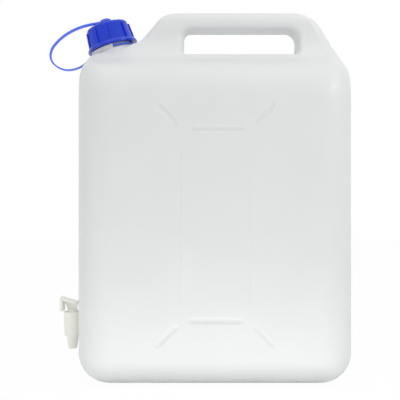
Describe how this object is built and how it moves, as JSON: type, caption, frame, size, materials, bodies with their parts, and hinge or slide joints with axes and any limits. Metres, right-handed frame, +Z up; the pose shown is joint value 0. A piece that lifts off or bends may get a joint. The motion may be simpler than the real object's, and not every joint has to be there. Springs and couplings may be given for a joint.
{
  "type": "carboy with spigot",
  "caption": "Upright blow-moulded polyethylene water can with a built-in handle, a tethered screw cap on a leaning neck and a quarter-turn tap low on one side.",
  "frame": {"origin": "middle of the can's base, on the surface that it stands on", "axes": "+Z up, +X along the wide faces away from the tap, +Y through the can's depth from the face in view to the back"},
  "size_m": [0.3549, 0.15, 0.432],
  "materials": {
    "natural_polyethylene": "satin translucent natural polyethylene, blow-moulded",
    "blue_cap": "glossy blue polyethylene, injection-moulded",
    "blue_strap": "glossy blue polyethylene, injection-moulded",
    "liner_foam": "white foamed polyethylene sheet",
    "tap_polyethylene": "natural polyethylene, injection-moulded",
    "gasket_rubber": "matt black rubber"
  },
  "bodies": {
    "can": {"can_body": "natural_polyethylene", "tap_body": "tap_polyethylene", "tap_gasket": "gasket_rubber"},
    "strap": {"cap_strap": "blue_strap"},
    "cap": {"screw_cap": "blue_cap", "cap_liner": "liner_foam"},
    "plug": {"tap_plug": "tap_polyethylene"}
  },
  "joints": [
    {"name": "cap_lift", "type": "slide", "parent": "can", "child": "strap", "axis": [-0.284, 0, 0.9588], "range_m": [0, 0.0121], "deforming": ["cap_strap"]},
    {"name": "cap_turn", "type": "hinge", "parent": "strap", "child": "cap", "pos_m": [-0.1208, 0, 0.3885], "axis": [-0.284, 0, 0.9588], "range_deg": [0, 720]},
    {"name": "tap_turn", "type": "hinge", "parent": "can", "child": "plug", "pos_m": [-0.1703, 0, 0.06], "axis": [0, 0, 1], "range_deg": [0, 90]}
  ],
  "couplings": [
    {"joint": "cap_lift", "follows": "cap_turn", "m_per_rad": 0.00095493}
  ]
}
